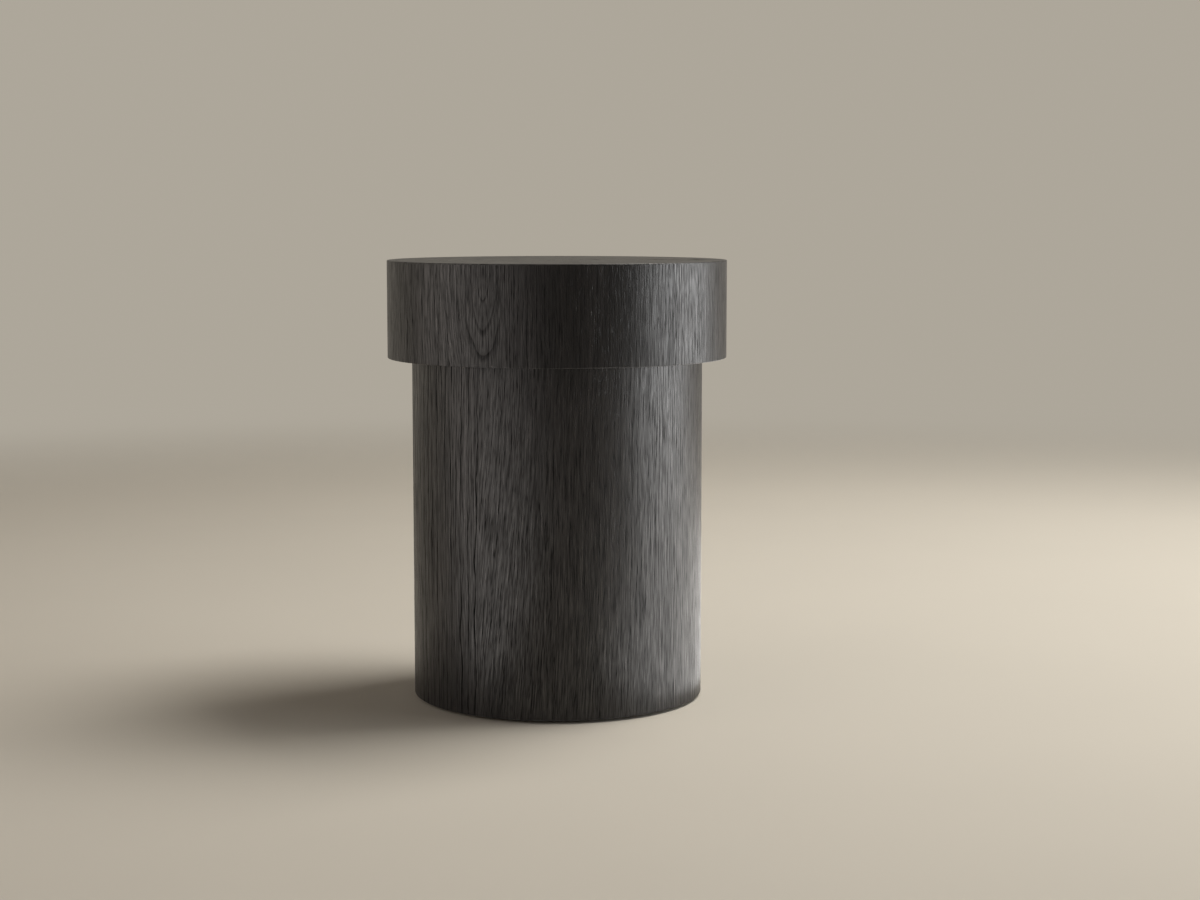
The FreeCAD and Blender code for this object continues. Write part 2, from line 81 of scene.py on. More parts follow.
# Turned pieces.
def turned_mesh(name, rows, columns, closed=False):
    """A mesh turned round the Z axis from rows of (radius, height) in millimetres, listed from the
    underside outwards and up. A radius may be a function of the angle. A closed set makes a ring."""
    work = bmesh.new()
    rings = []
    for radius, height in rows:
        if radius == 0:
            rings.append([work.verts.new((0, 0, height * MM))])
            continue
        ring = []
        for column in range(columns):
            angle = FULL_TURN * column / columns
            reach = (radius(angle) if callable(radius) else radius) * MM
            ring.append(work.verts.new((reach * math.sin(angle), -reach * math.cos(angle), height * MM)))
        rings.append(ring)
    pairs = list(zip(rings, rings[1:]))
    if closed:
        pairs.append((rings[-1], rings[0]))
    for lower, upper in pairs:
        for column in range(columns):
            after = (column + 1) % columns
            if len(lower) == 1:
                corners = [lower[0], upper[after], upper[column]]
            elif len(upper) == 1:
                corners = [lower[column], lower[after], upper[0]]
            else:
                corners = [lower[column], lower[after], upper[after], upper[column]]
            work.faces.new(corners)
    mesh = bpy.data.meshes.new(name)
    work.to_mesh(mesh)
    work.free()
    return mesh


# The largest share of a side that the arc at its corner takes.
LARGEST_SHARE = 0.45


def rounded(corners, radius, steps=3):
    """The rows with each corner that is marked True rounded off by a short arc of chords."""
    rows = []
    count = len(corners)
    for index, (reach, height, soft) in enumerate(corners):
        if not soft:
            rows.append((reach, height))
            continue
        before = corners[(index - 1) % count]
        after = corners[(index + 1) % count]
        starts = []
        for other in (before, after):
            gap = math.hypot(other[0] - reach, other[1] - height)
            share = min(radius / gap, LARGEST_SHARE)
            starts.append((reach + (other[0] - reach) * share, height + (other[1] - height) * share))
        for step in range(steps + 1):
            t = step / steps
            weights = ((1 - t) ** 2, 2 * t * (1 - t), t ** 2)
            points = (starts[0], (reach, height), starts[1])
            rows.append(tuple(sum(w * p[axis] for w, p in zip(weights, points)) for axis in (0, 1)))
    return rows


def hexagon(flats):
    """Radius of a hexagon of that width across its flats, by angle."""
    side = FULL_TURN / HEXAGON

    def radius(angle):
        return flats / 2 / math.cos(angle % side - side / 2)
    return radius


def levels(low, high, step):
    """Heights from low to high at about that step."""
    count = max(1, round((high - low) / step))
    return [low + (high - low) * index / count for index in range(count + 1)]


def shade(mesh, crease=32):
    """Smooth faces, with creases kept where the surface bends by more than that many degrees."""
    mesh.shade_smooth()
    mesh.set_sharp_from_angle(angle=math.radians(crease))
    return mesh


def linked(name, data):
    """A new object of that data, in the scene."""
    made = bpy.data.objects.new(name, data)
    bpy.context.collection.objects.link(made)
    return made


def add_piece(name, mesh, body, material, node):
    """A finished piece: its material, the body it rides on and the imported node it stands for."""
    piece = linked(name, mesh)
    if not mesh.materials:
        mesh.materials.append(material)
    mesh.materials[0] = material
    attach(piece, body)
    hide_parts(node)


# In a copied board, points nearer than this are merged (mm), faces that bend less than the level angle are
# joined, and edges that bend more than the sharp angle are eased (degrees).
MERGE_REACH = 0.01
LEVEL_ANGLE = 0.8
SHARP_ANGLE = 40


def eased_copy(node, name, ease):
    """A merged copy of a packed board with its sharp edges eased by that many millimetres."""
    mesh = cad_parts[node].data.copy()
    mesh.name = name
    work = bmesh.new()
    work.from_mesh(mesh)
    bmesh.ops.remove_doubles(work, verts=work.verts, dist=MERGE_REACH * MM)
    bmesh.ops.dissolve_limit(
        work, angle_limit=math.radians(LEVEL_ANGLE), verts=work.verts, edges=work.edges
    )
    limit = math.radians(SHARP_ANGLE)
    sharp = [edge for edge in work.edges if edge.is_manifold and edge.calc_face_angle() > limit]
    bmesh.ops.bevel(
        work, geom=sharp, offset=ease * MM, offset_type="OFFSET", segments=2, profile=0.5, affect="EDGES",
        clamp_overlap=True,
    )
    work.to_mesh(mesh)
    work.free()
    mesh.materials.clear()
    return shade(mesh, crease=30)


# Geometry Nodes, and short calls that materials share with them.
def start_tree(name, *sizes, counts=()):
    """A geometry tree with a mesh, a material and the named sizes and counts as its inputs. Gives the tree,
    its input node and the identifiers of its inputs."""
    tree = bpy.data.node_groups.new(name, "GeometryNodeTree")
    tree.interface.new_socket("Mesh", in_out="INPUT", socket_type="NodeSocketGeometry")
    tree.interface.new_socket("Mesh", in_out="OUTPUT", socket_type="NodeSocketGeometry")
    kinds = {label: "NodeSocketInt" for label in counts}
    kinds.update({label: "NodeSocketFloat" for label in sizes})
    kinds["Material"] = "NodeSocketMaterial"
    keys = {}
    for label, kind in kinds.items():
        keys[label] = tree.interface.new_socket(label, in_out="INPUT", socket_type=kind).identifier
    start = tree.nodes.new("NodeGroupInput")
    return tree, start, keys


def feed(tree, node, feeds):
    """Gives a node's inputs, named or numbered, their links or values."""
    for key, value in feeds.items():
        if isinstance(value, bpy.types.NodeSocket):
            tree.links.new(value, node.inputs[key])
        else:
            node.inputs[key].default_value = value


def tree_node(tree, kind, feeds, **settings):
    """Adds a node with those settings and feeds its inputs."""
    made = tree.nodes.new(kind)
    for name, setting in settings.items():
        setattr(made, name, setting)
    feed(tree, made, feeds)
    return made


def tree_math(tree, operation, *values):
    """The result of a math node on those values."""
    return tree_node(tree, "ShaderNodeMath", dict(enumerate(values)), operation=operation).outputs[0]


def tree_vector(tree, x, y, z=0.0):
    """A vector of those values."""
    return tree_node(tree, "ShaderNodeCombineXYZ", {"X": x, "Y": y, "Z": z}).outputs[0]


def tree_parts(tree, vector):
    """A vector's X, Y and Z."""
    return tree_node(tree, "ShaderNodeSeparateXYZ", {0: vector}).outputs


def tree_length(tree, vector):
    """A vector's length."""
    return tree_node(tree, "ShaderNodeVectorMath", {0: vector}, operation="LENGTH").outputs["Value"]


def end_tree(tree, start, shape):
    """Closes a tree with Realize Instances and Set Material."""
    real = tree_node(tree, "GeometryNodeRealizeInstances", {"Geometry": shape})
    painted = tree_node(tree, "GeometryNodeSetMaterial", {
        "Geometry": real.outputs[0], "Material": start.outputs["Material"],
    })
    tree_node(tree, "NodeGroupOutput", {0: painted.outputs[0]})


def sink(tree, start, chosen, outward, depth):
    """Moves the chosen points inwards by that depth and closes the tree."""
    inward = tree_node(tree, "ShaderNodeVectorMath", {
        0: outward, "Scale": tree_math(tree, "MULTIPLY", depth, -1.0),
    }, operation="SCALE")
    moved = tree_node(tree, "GeometryNodeSetPosition", {
        "Geometry": start.outputs["Mesh"], "Selection": chosen, "Offset": inward.outputs[0],
    })
    end_tree(tree, start, moved.outputs[0])


def set_round_tree():
    """Repeats a piece evenly round the drum's axis."""
    tree, start, keys = start_tree("set_round_the_drum", "Circle Radius", "First Angle", counts=["Count"])
    index = tree.nodes.new("GeometryNodeInputIndex").outputs[0]
    step = tree_math(tree, "DIVIDE", FULL_TURN, start.outputs["Count"])
    angle = tree_math(tree, "MULTIPLY_ADD", index, step, start.outputs["First Angle"])
    radius = start.outputs["Circle Radius"]
    spot = tree_vector(
        tree,
        tree_math(tree, "MULTIPLY", radius, tree_math(tree, "COSINE", angle)),
        tree_math(tree, "MULTIPLY", radius, tree_math(tree, "SINE", angle)),
    )
    points = tree_node(tree, "GeometryNodePoints", {"Count": start.outputs["Count"], "Position": spot})
    placed = tree_node(tree, "GeometryNodeInstanceOnPoints", {
        "Points": points.outputs[0], "Instance": start.outputs["Mesh"],
        "Rotation": tree_vector(tree, 0.0, 0.0, angle),
    })
    end_tree(tree, start, placed.outputs[0])
    return tree, keys


# Where a thread's flank leaves the crest and where it meets the root, in turns from the crest's middle.
CREST_END = 0.06
ROOT_START = 0.42


def cut_thread_tree():
    """Cuts a right-hand thread into the part of a turned shank between two levels."""
    tree, start, keys = start_tree("cut_thread", "Bottom", "Top", "Pitch", "Depth")
    x, y, z = tree_parts(tree, tree.nodes.new("GeometryNodeInputPosition").outputs[0])
    turn = tree_math(tree, "DIVIDE", tree_math(tree, "ARCTAN2", y, x), FULL_TURN)
    rise = tree_math(tree, "SUBTRACT", tree_math(tree, "DIVIDE", z, start.outputs["Pitch"]), turn)
    wave = tree_math(tree, "PINGPONG", rise, 0.5)
    flank = tree_node(tree, "ShaderNodeMapRange", {
        "Value": wave, "From Min": CREST_END, "From Max": ROOT_START,
    })
    cut = tree_math(tree, "MULTIPLY", flank.outputs[0], start.outputs["Depth"])
    flat = tree_vector(tree, x, y)
    outward = tree_node(tree, "ShaderNodeVectorMath", {0: flat}, operation="NORMALIZE").outputs[0]
    above = tree_math(tree, "GREATER_THAN", z, start.outputs["Bottom"])
    below = tree_math(tree, "LESS_THAN", z, start.outputs["Top"])
    sink(tree, start, tree_math(tree, "MULTIPLY", above, below), outward, cut)
    return tree, keys


# Noise up to the first value is soft wood, brushed out to the full depth. Past the second it is hard wood.
SOFT_WOOD = 0.3
HARD_WOOD = 0.62


def brushed_relief_tree():
    """Brushes the soft wood out of a veneer wrap, in long shallow furrows along the grain."""
    tree, start, keys = start_tree(
        "brushed_relief", "Outside Radius", "Furrow Width", "Furrow Length", "Depth", "Seed"
    )
    x, y, z = tree_parts(tree, tree.nodes.new("GeometryNodeInputPosition").outputs[0])
    width = start.outputs["Furrow Width"]
    place = tree_vector(
        tree,
        tree_math(tree, "DIVIDE", x, width),
        tree_math(tree, "DIVIDE", y, width),
        tree_math(tree, "DIVIDE", z, start.outputs["Furrow Length"]),
    )
    furrows = tree_node(
        tree, "ShaderNodeTexNoise",
        {"Vector": place, "W": start.outputs["Seed"], "Scale": 1.0, "Detail": 2.0},
        noise_dimensions="4D",
    )
    bare = tree_node(tree, "ShaderNodeMapRange", {
        "Value": furrows.outputs[0], "From Min": SOFT_WOOD, "From Max": HARD_WOOD,
        "To Min": 1.0, "To Max": 0.0,
    })
    depth = tree_math(tree, "MULTIPLY", bare.outputs[0], start.outputs["Depth"])
    normal = tree.nodes.new("GeometryNodeInputNormal").outputs[0]
    reach = tree_length(tree, tree_vector(tree, x, y))
    outside = tree_math(tree, "GREATER_THAN", reach, start.outputs["Outside Radius"])
    sink(tree, start, outside, normal, depth)
    return tree, keys


def worked(mesh, tool, settings):
    """The plain mesh that a geometry tree makes of a mesh. The tool is the tree with its identifiers."""
    tree, keys = tool
    holder = linked("holder", mesh)
    modifier = holder.modifiers.new(tree.name, "NODES")
    modifier.node_group = tree
    for label, setting in settings.items():
        modifier[keys[label]] = setting
    graph = bpy.context.evaluated_depsgraph_get()
    made = bpy.data.meshes.new_from_object(
        holder.evaluated_get(graph), preserve_all_data_layers=True, depsgraph=graph
    )
    made.name = mesh.name
    bpy.data.objects.remove(holder)
    bpy.data.meshes.remove(mesh)
    return made


set_round = set_round_tree()
cut_thread = cut_thread_tree()
brushed_relief = brushed_relief_tree()


# Materials. Most noise lies between these two values.
MOST_NOISE = (0.3, 0.7)

# Pores: where a tick fades, in cells from its middle, how much likelier early wood makes one, and the
# range of chance over which ticks come up.
PORE_FADE = (0.12, 0.36)
EARLY_CHANCE = 0.35
PORE_CHANCE = (0.10, 0.80)


class Finish:
    """A material and short calls that add a node to it and hand back the node's result."""

    def __init__(self, name):
        self.material = bpy.data.materials.new(name)
        self.material.use_nodes = True
        self.tree = self.material.node_tree
        self.surface = self.tree.nodes["Principled BSDF"]
        self.spot = self.node("ShaderNodeTexCoord", {}).outputs["Object"]
        self.x, self.y, self.z = self.parts(self.spot)

    def node(self, kind, feeds, **settings):
        return tree_node(self.tree, kind, feeds, **settings)

    def math(self, operation, *values):
        return tree_math(self.tree, operation, *values)

    def times(self, first, second):
        return self.math("MULTIPLY", first, second)

    def parts(self, vector):
        return tree_parts(self.tree, vector)

    def vector(self, x, y, z=0.0):
        return tree_vector(self.tree, x, y, z)

    def flat_length(self, x, y):
        """How far a point of those two coordinates lies from where both are nought."""
        return tree_length(self.tree, self.vector(x, y))

    def written(self, label):
        """The three values that the piece's faces carry under that label."""
        return self.parts(self.node("ShaderNodeAttribute", {}, attribute_name=label).outputs["Vector"])

    def noise(self, vector, scale=1.0, detail=2.0, roughness=0.5):
        feeds = {"Vector": vector, "Scale": scale, "Detail": detail, "Roughness": roughness}
        return self.node("ShaderNodeTexNoise", feeds).outputs[0]

    def upright_noise(self, across, along, detail=2.0):
        """Noise drawn out up the piece, with so many waves to the metre across it and along it."""
        place = self.vector(
            self.times(self.x, across),
            self.times(self.y, across),
            self.times(self.z, along),
        )
        return self.noise(place, detail=detail)

    def centred(self, value):
        """Noise moved to swing about nought."""
        return self.math("SUBTRACT", value, 0.5)

    def drawn_out(self, across, along, seed, size):
        """Places for a pattern with marks of that width across the grain and length along it, in mm."""
        width, length = size
        return self.vector(
            self.math("DIVIDE", across, width * MM), self.math("DIVIDE", along, length * MM), seed
        )

    def grain(self, across, along, seed, size, detail=2.0):
        """Noise in streaks of about that width and length in millimetres."""
        return self.noise(self.drawn_out(across, along, seed, size), detail=detail)

    def pores(self, across, along, seed, early, size):
        """Short ticks, one to a cell of that width and length in mm, more of them in early wood."""
        place = self.drawn_out(across, along, seed, size)
        cells = self.node("ShaderNodeTexVoronoi", {"Vector": place, "Scale": 1.0})
        tick = self.span(cells.outputs["Distance"], *PORE_FADE, 1.0, 0.0)
        chance = self.node("ShaderNodeSeparateColor", {0: cells.outputs["Color"]}).outputs[0]
        chance = self.math("MULTIPLY_ADD", early, EARLY_CHANCE, chance)
        return self.times(tick, self.span(chance, *PORE_CHANCE))

    def levelness(self):
        """1 on level faces, 0 on upright ones."""
        normal = self.node("ShaderNodeNewGeometry", {}).outputs["Normal"]
        return self.math("ABSOLUTE", self.parts(normal)[2])

    def span(self, value, low, high, start=0.0, end=1.0):
        """Maps low to high smoothly on to start to end."""
        feeds = {"Value": value, "From Min": low, "From Max": high, "To Min": start, "To Max": end}
        return self.node("ShaderNodeMapRange", feeds, interpolation_type="SMOOTHSTEP").outputs[0]

    def total(self, *terms):
        """Adds up terms of (value, weight)."""
        result = 0.0
        for value, weight in terms:
            result = self.math("MULTIPLY_ADD", value, weight, result)
        return result

    def ramp(self, value, *stops):
        """A colour by value, from stops of (place, red, green, blue)."""
        made = self.node("ShaderNodeValToRGB", {0: value})
        points = made.color_ramp.elements
        while len(points) < len(stops):
            points.new(1.0)
        for point, (place, red, green, blue) in zip(points, stops):
            point.position = place
            point.color = (red, green, blue, 1.0)
        return made.outputs[0]

    def wear(self, colour, roughness, height=None, depth=0.1, strength=1.0, **sockets):
        """Joins the finish to the shader. Depth is the bump's, in millimetres."""
        feeds = {label.replace("_", " "): value for label, value in sockets.items()}
        feeds.update({"Base Color": colour, "Roughness": roughness})
        if height is not None:
            relief = {"Height": height, "Strength": strength, "Distance": depth * MM}
            feeds["Normal"] = self.node("ShaderNodeBump", relief).outputs[0]
        feed(self.tree, self.surface, feeds)
        return self.material


# Oak, in millimetres: how far waves carry the rings aside, the early wood after and just before a ring's
# start, and how far beside the heart the sway begins to grow and is full.
LOOSE_WANDER = 34
STRAIGHT_WANDER = 6
SHAKE = 1.6
SWAY = 11
EARLY_WOOD = 1.4
EARLY_ONSET = 0.4
HEART_NEAR = 3
HEART_FAR = 32
# Shares: the sway left over the heart, the waves that straight grain loses, how far it draws its marks
# out, and how strong a pore is.
HEART_SWAY = 0.25
STRAIGHT_CALM = 0.7
STRAIGHT_STRETCH = 0.2
PORE_STRENGTH = 0.9
# By how many rings their spacing varies, the noise at which a ring's line breaks off, and two seeds that
# keep patterns apart.
UNEVEN_RINGS = 1.6
RING_BREAKS = (0.34, 0.56)
SWAY_SEED = 3.0
FINE_PORE_SEED = 5.0
# The plain ground between the marks, and the stain from dark to pale.
GROUND_VALUE = 0.5
GROUND_ROUGHNESS = 0.38
GROUND_GLOSS = 0.58
LEAST_GLOSS = 0.02
BLACK_STAIN = (
    (0.0, 0.0020, 0.0017, 0.0017),
    (0.34, 0.0072, 0.0062, 0.0063),
    (0.58, 0.0130, 0.0114, 0.0116),
    (1.0, 0.0360, 0.0322, 0.0325),
)


def oak_veneer(name, wrap_radius=None):
    """Black-stained brushed oak. Every leaf's own grain comes from what write_leaves wrote on its faces:
    the leaf's middle, the heart's place beside and along it, how the rings close over it, their spacing, a
    seed, how strongly rings, streaks and pores show, the leaf's tone and how straight its grain runs."""
    oak = Finish(name)
    middle, heart, heart_level = oak.written("leaf_place")
    taper, spacing, seed = oak.written("leaf_figure")
    ring_share, streak_share, pore_share = oak.written("leaf_marks")
    tone, straight, _ = oak.written("leaf_ground")
    if wrap_radius:
        angle = oak.math("ARCTAN2", oak.x, oak.times(oak.y, -1.0))
        turn = oak.math("WRAP", oak.math("SUBTRACT", angle, middle), math.pi, -math.pi)
        across = oak.times(turn, wrap_radius * MM)
        along = oak.z
    else:
        across = oak.math("SUBTRACT", oak.y, middle)
        along = oak.x

    # Annual rings: curves about the heart that wander a little, least where they close over it.
    wander = oak.centred(oak.grain(across, along, seed, size=(110, 420), detail=1.0))
    tighter = STRAIGHT_WANDER - LOOSE_WANDER
    wander_reach = oak.math("MULTIPLY_ADD", straight, tighter * MM, LOOSE_WANDER * MM)
    beside = oak.math("MULTIPLY_ADD", wander, wander_reach, oak.math("SUBTRACT", across, heart))
    over = oak.times(oak.math("SUBTRACT", along, heart_level), taper)
    waviness = oak.math("MULTIPLY_ADD", straight, -STRAIGHT_CALM, 1.0)
    shake = oak.times(oak.grain(across, along, seed, size=(7, 70), detail=1.0), waviness)
    rings = oak.math("MULTIPLY_ADD", shake, SHAKE * MM, oak.flat_length(beside, over))
    sway = oak.centred(oak.grain(across, along, oak.math("ADD", seed, SWAY_SEED), size=(15, 42)))
    aside = oak.span(oak.math("ABSOLUTE", beside), HEART_NEAR * MM, HEART_FAR * MM)
    sway_share = oak.math("MULTIPLY_ADD", aside, 1 - HEART_SWAY, HEART_SWAY)
    sway = oak.times(sway, oak.times(waviness, sway_share))
    rings = oak.math("MULTIPLY_ADD", sway, SWAY * MM, rings)

    # A ring begins with early wood, in a line that breaks off here and there.
    uneven = oak.grain(rings, along, seed, size=(16, 900), detail=1.0)
    count = oak.math("MULTIPLY_ADD", uneven, UNEVEN_RINGS, oak.math("DIVIDE", rings, spacing))
    past = oak.times(oak.math("FRACT", count), spacing)
    ahead = oak.math("SUBTRACT", spacing, past)
    early = oak.math(
        "MAXIMUM",
        oak.span(past, 0.0, EARLY_WOOD * MM, 1.0, 0.0),
        oak.span(ahead, 0.0, EARLY_ONSET * MM, 1.0, 0.0),
    )
    broken = oak.span(oak.grain(rings, along, seed, size=(5.0, 130)), *RING_BREAKS)
    ring_line = oak.times(oak.times(early, broken), ring_share)

    # Fibres and pores follow the rings beside the heart and run straight up over it. Open pores are short
    # dark ticks, thickest in the early wood.
    flow = oak.flat_length(beside, oak.times(over, aside))
    flow = oak.math("MULTIPLY_ADD", shake, SHAKE * MM, flow)
    run = oak.times(along, oak.math("MULTIPLY_ADD", straight, -STRAIGHT_STRETCH, 1.0))
    coarse = oak.pores(flow, run, seed, early, size=(0.9, 17))
    fine = oak.pores(flow, run, oak.math("ADD", seed, FINE_PORE_SEED), early, size=(0.6, 11))
    pore = oak.times(oak.math("MAXIMUM", coarse, fine), PORE_STRENGTH)
    pore = oak.times(pore, pore_share)

    # Fibres between the pores, long streaks and soft clouds.
    fibre = oak.centred(oak.grain(flow, run, seed, size=(0.85, 24)))
    streak = oak.centred(oak.grain(across, along, seed, size=(1.2, 110)))
    streak = oak.times(streak, streak_share)
    cloud = oak.centred(oak.grain(across, along, seed, size=(38, 260)))
    value = oak.total(
        (fibre, 1.35), (streak, 1.5), (cloud, 0.6), (ring_line, -0.45), (pore, -0.38), (tone, 1.0)
    )
    colour = oak.ramp(oak.math("ADD", value, GROUND_VALUE), *BLACK_STAIN)
    height = oak.total((fibre, 0.9), (streak, 0.6), (ring_line, -0.35), (pore, -0.55))
    roughness = oak.total((pore, 0.2), (ring_line, 0.15), (fibre, -0.50), (streak, -0.30), (cloud, 0.1))
    roughness = oak.math("ADD", roughness, GROUND_ROUGHNESS)

    # Open pores give back almost no gloss, and brushed fibres a little more than the ground between them.
    gloss = oak.total((pore, -0.50), (ring_line, -0.50), (fibre, 1.4), (streak, 0.75))
    gloss = oak.math("MAXIMUM", oak.math("ADD", gloss, GROUND_GLOSS), LEAST_GLOSS)
    return oak.wear(colour, roughness, height, depth=0.13, Specular_IOR_Level=gloss)


def fibreboard():
    """Raw medium-density fibreboard: fine specks, darker on its sawn edges."""
    board = Finish("raw_fibreboard")
    specks = board.noise(board.spot, scale=900.0, detail=3.0, roughness=0.6)
    cloud = board.noise(board.spot, scale=28.0)
    value = board.total((specks, 0.7), (cloud, 0.4), (board.levelness(), 0.12))
    colour = board.ramp(
        value, (0.3, 0.20, 0.135, 0.080), (0.62, 0.40, 0.285, 0.180), (0.95, 0.53, 0.405, 0.275)
    )
    roughness = board.span(specks, *MOST_NOISE, 0.7, 0.9)
    return board.wear(colour, roughness, specks, depth=0.05, strength=0.5)


def bending_plywood():
    """Bent plywood: long grain up its faces, plies and glue lines on its edge, darker towards its foot
    edge.
    """
    thickness, glue_share = 1.7, 0.07
    fully_dark_below, darkening_end = base_low.z + 0.2, base_low.z + 2.4
    ply = Finish("bending_plywood")
    face = ply.upright_noise(420.0, 11.0, detail=3.0)
    bands = ply.upright_noise(45.0, 2.0)
    layer = ply.math("DIVIDE", ply.flat_length(ply.x, ply.y), thickness * MM)
    glue = ply.span(ply.math("PINGPONG", layer, 0.5), 0.0, glue_share, 1.0, 0.0)
    cross = ply.math("FLOORED_MODULO", ply.math("FLOOR", layer), 2.0)
    edge = ply.span(ply.levelness(), 0.5, 0.9)
    lines = ply.times(edge, ply.total((glue, 0.22), (cross, 0.10)))
    # The wall turns darker over its lowest few millimetres, towards its foot edge.
    foot_darkening = ply.span(ply.z, fully_dark_below * MM, darkening_end * MM, 0.52, 0.0)
    value = ply.math("SUBTRACT", ply.total((face, 0.5), (bands, 0.45)), lines)
    value = ply.math("SUBTRACT", value, foot_darkening)
    colour = ply.ramp(
        value, (0.0, 0.020, 0.016, 0.013), (0.22, 0.17, 0.105, 0.058), (0.5, 0.44, 0.315, 0.195),
        (0.8, 0.60, 0.465, 0.310),
    )
    roughness = ply.span(face, *MOST_NOISE, 0.55, 0.75)
    return ply.wear(colour, roughness, ply.total((face, 1.0), (glue, -0.4)), depth=0.15, strength=0.5)


def softwood():
    """Planed pine: bands of late wood up the batten with fine fibre between them."""
    rings_per_metre, wander_by = 210.0, 9.0
    pine = Finish("planed_pine")
    wander = pine.noise(
        pine.vector(pine.x, pine.y, pine.times(pine.z, 0.12)), scale=26.0, detail=1.0
    )
    rings = pine.times(pine.math("ADD", pine.x, pine.y), rings_per_metre)
    rings = pine.math("MULTIPLY_ADD", wander, wander_by, rings)
    late = pine.span(pine.math("FRACT", rings), 0.45, 1.0)
    fibre = pine.upright_noise(900.0, 22.0)
    value = pine.total((late, 0.5), (fibre, 0.5))
    colour = pine.ramp(
        value, (0.1, 0.66, 0.47, 0.27), (0.5, 0.55, 0.36, 0.18), (0.9, 0.36, 0.19, 0.075)
    )
    roughness = pine.span(fibre, *MOST_NOISE, 0.45, 0.62)
    return pine.wear(colour, roughness, fibre, depth=0.08, strength=0.5)


def beech_wood():
    """Beech dowel: short flecks along the length."""
    beech = Finish("beech_dowel")
    fleck = beech.upright_noise(1100.0, 160.0)
    colour = beech.ramp(fleck, (0.3, 0.42, 0.26, 0.15), (0.55, 0.60, 0.41, 0.25), (0.8, 0.68, 0.49, 0.32))
    return beech.wear(colour, 0.6, fleck, depth=0.05, strength=0.4)


def bright_metal(name, dark, pale, sheen_low, sheen_high):
    """Plated or turned metal: faint clouds in the plating and fine turning marks."""
    metal = Finish(name)
    cloud = metal.noise(metal.spot, scale=240.0, detail=3.0)
    marks = metal.noise(metal.vector(0.0, 0.0, metal.times(metal.z, 9000.0)), detail=1.0)
    value = metal.total((cloud, 0.7), (marks, 0.3))
    colour = metal.ramp(value, (0.3, *dark), (0.7, *pale))
    roughness = metal.span(cloud, *MOST_NOISE, sheen_low, sheen_high)
    return metal.wear(colour, roughness, marks, depth=0.01, strength=0.3, Metallic=1.0)


def moulded_nylon():
    """Black moulded nylon with a fine spark-eroded texture."""
    nylon = Finish("black_moulded_nylon")
    texture = nylon.noise(nylon.spot, scale=2600.0)
    cloud = nylon.noise(nylon.spot, scale=130.0)
    value = nylon.total((texture, 0.4), (cloud, 0.6))
    colour = nylon.ramp(value, (0.3, 0.018, 0.018, 0.019), (0.7, 0.034, 0.034, 0.035))
    roughness = nylon.span(cloud, *MOST_NOISE, 0.42, 0.58)
    return nylon.wear(colour, roughness, texture, depth=0.04, strength=0.6)


def pressed_felt():
    """Grey pressed felt: tangled fibres with a soft sheen."""
    bend_reach = (0.004, 0.004, 0.004)
    felt = Finish("grey_pressed_felt")
    bend = felt.node("ShaderNodeVectorMath", {
        0: felt.spot,
        1: felt.node("ShaderNodeTexNoise", {"Vector": felt.spot, "Scale": 700.0}).outputs[1],
        2: bend_reach,
    }, operation="MULTIPLY_ADD").outputs[0]
    strands = felt.node(
        "ShaderNodeTexVoronoi", {"Vector": bend, "Scale": 1500.0}, feature="DISTANCE_TO_EDGE"
    )
    tangle = felt.span(strands.outputs[0], 0.0, 0.28)
    cloud = felt.noise(felt.spot, scale=180.0, detail=3.0)
    value = felt.total((tangle, 0.45), (cloud, 0.6))
    colour = felt.ramp(
        value, (0.2, 0.055, 0.055, 0.056), (0.55, 0.115, 0.114, 0.112), (0.95, 0.20, 0.20, 0.196)
    )
    return felt.wear(
        colour, 0.95, tangle, depth=0.12, strength=0.8, Sheen_Weight=0.3, Specular_IOR_Level=0.15
    )


base_oak = oak_veneer("base_oak_veneer", BASE_RADIUS)
head_oak = oak_veneer("rim_oak_veneer", HEAD_RADIUS)
flat_oak = oak_veneer("top_oak_veneer")
board_finish = fibreboard()
ply_finish = bending_plywood()
pine_finish = softwood()
beech_finish = beech_wood()
zinc_finish = bright_metal("bright_zinc_plate", (0.46, 0.47, 0.49), (0.66, 0.67, 0.68), 0.26, 0.44)
brass_finish = bright_metal("turned_brass", (0.58, 0.41, 0.16), (0.78, 0.60, 0.28), 0.2, 0.36)
nylon_finish = moulded_nylon()
felt_finish = pressed_felt()


# Veneer leaves. Each leaf: where it starts round the drum, in degrees from the front and positive to the
# viewer's right, the heart's place beside its middle and along it (mm), how steeply the rings close over
# it, their spacing (mm), tone, how straight its grain runs, and how strongly its rings, streaks and pores
# show. On the top and underside, the first value is the line that the grain is measured from (Y in mm).
Leaf = namedtuple("Leaf", "start heart level taper spacing tone straight rings streaks pores")
BASE_LEAVES = (
    Leaf(-102, 300, 100, 0.05, 8.0, 0.03, 0.6, 1.25, 0.9, 0.8),
    Leaf(-30, -170, 900, 0.10, 6.0, 0.00, 0.6, 0.3, 0.3, 1.0),
    Leaf(42, 310, 150, 0.06, 4.0, 0.08, 1.0, 0.5, 0.9, 0.8),
    Leaf(114, 15, -160, 0.20, 7.0, 0.00, 0.0, 0.9, 0.4, 0.9),
    Leaf(186, -320, 250, 0.05, 5.5, 0.02, 0.7, 0.6, 0.8, 0.8),
)
HEAD_LEAVES = (
    Leaf(-77, 76, 446, 0.27, 7.6, -0.02, 0.0, 0.50, 0.7, 0.8),
    Leaf(-17, 330, 420, 0.05, 4.2, -0.03, 0.9, 0.3, 0.3, 1.0),
    Leaf(43, 300, 400, 0.07, 4.6, 0.05, 1.0, 0.5, 0.9, 0.8),
    Leaf(103, -20, 240, 0.14, 6.4, 0.00, 0.0, 0.9, 0.4, 0.9),
    Leaf(163, -310, 380, 0.06, 4.8, 0.02, 0.7, 0.6, 0.8, 0.8),
    Leaf(223, 290, 400, 0.05, 5.2, -0.01, 0.6, 0.7, 0.9, 0.8),
)
TOP_SEAMS = (-58, 58)
SEAM_TOLERANCE = 0.0001
